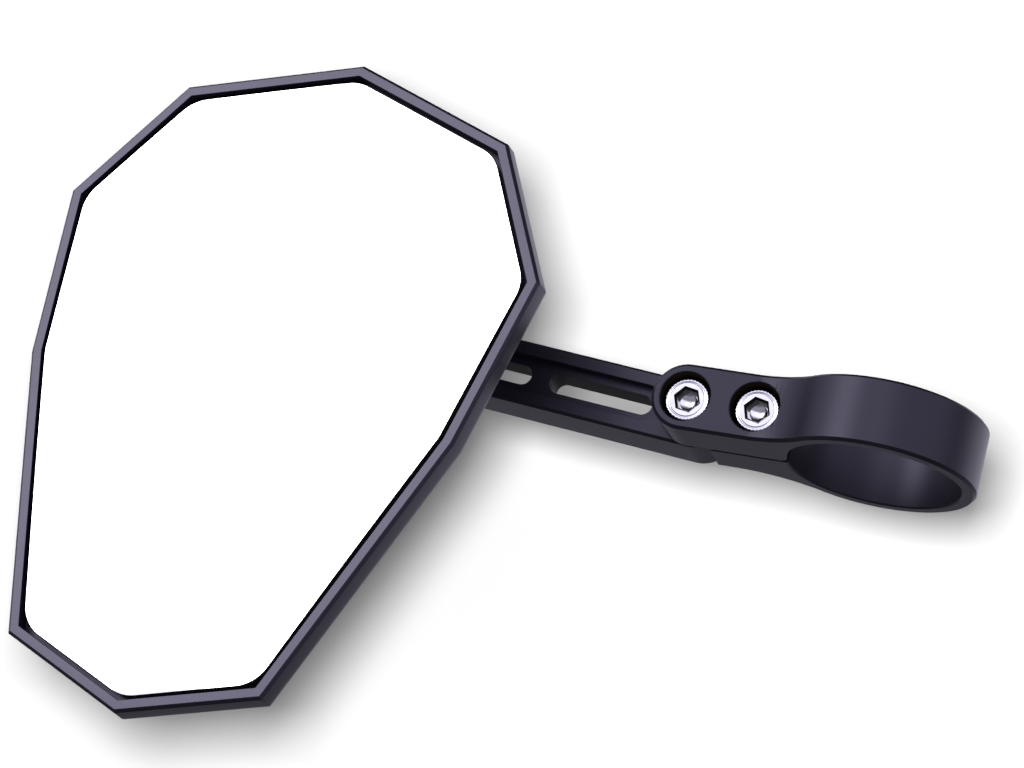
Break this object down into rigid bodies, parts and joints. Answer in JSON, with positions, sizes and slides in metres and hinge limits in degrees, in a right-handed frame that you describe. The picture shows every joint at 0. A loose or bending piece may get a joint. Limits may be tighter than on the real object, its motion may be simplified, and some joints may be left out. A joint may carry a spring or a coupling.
{
  "type": "motorcycle bar end mirror",
  "caption": "Motorcycle bar end mirror: a split clamp ring, a slotted arm on a friction pivot, and a convex glass in a faceted metal head on a ball joint.",
  "frame": {"origin": "centre of the clamp ring's bore, on the axis of the handlebar", "axes": "+X along the handlebar; +Z from the bore up the clamp's legs, towards the arm and the head; -Y towards the rider, who sees the glass and the two bolt heads"},
  "size_m": [0.1396, 0.0483, 0.1912],
  "materials": {
    "anodised_aluminium": "black anodised, satin, with bare bevels",
    "polished_steel": "polished stainless steel",
    "zinc_steel": "zinc plated",
    "nylon": "natural nylon",
    "foam": "closed cell adhesive foam",
    "mirror": "silvered convex glass"
  },
  "bodies": {
    "clamp": {"clamp_ring": "anodised_aluminium", "clamp_bolt": "polished_steel"},
    "arm": {"pivot_bolt": "polished_steel", "pivot_lock_washer": "zinc_steel", "pivot_washer": "zinc_steel", "arm": "anodised_aluminium", "ball_stud": "polished_steel", "stud_lock_washer": "zinc_steel", "stud_nut": "zinc_steel"},
    "ball_seat": {"ball_seat": "nylon"},
    "pressure_cup": {"pressure_cup": "nylon"},
    "head": {"mirror_housing": "anodised_aluminium", "disc_spring": "zinc_steel", "retaining_plate": "zinc_steel", "retaining_screw_1": "zinc_steel", "retaining_screw_2": "zinc_steel", "retaining_screw_3": "zinc_steel", "retaining_screw_4": "zinc_steel", "glass_pad": "foam", "mirror_glass": "mirror"}
  },
  "joints": [
    {"name": "arm_pivot", "type": "hinge", "parent": "clamp", "child": "arm", "pos_m": [0, 0, 0.037], "axis": [0, 1, 0], "range_deg": [-70, 60]},
    {"name": "head_tilt", "type": "hinge", "parent": "arm", "child": "ball_seat", "pos_m": [0.00739, -0.0107, 0.11817], "axis": [0.9959, 0, -0.0906], "range_deg": [-9, 19]},
    {"name": "head_turn", "type": "hinge", "parent": "ball_seat", "child": "pressure_cup", "pos_m": [0.00739, -0.0107, 0.11817], "axis": [0.0903, 0.0872, 0.9921], "range_deg": [-15.5, 12.5]},
    {"name": "head_roll", "type": "hinge", "parent": "pressure_cup", "child": "head", "pos_m": [0.00739, -0.0107, 0.11817], "axis": [-0.034, 0.9959, -0.0844], "range_deg": [-45, 45]}
  ]
}
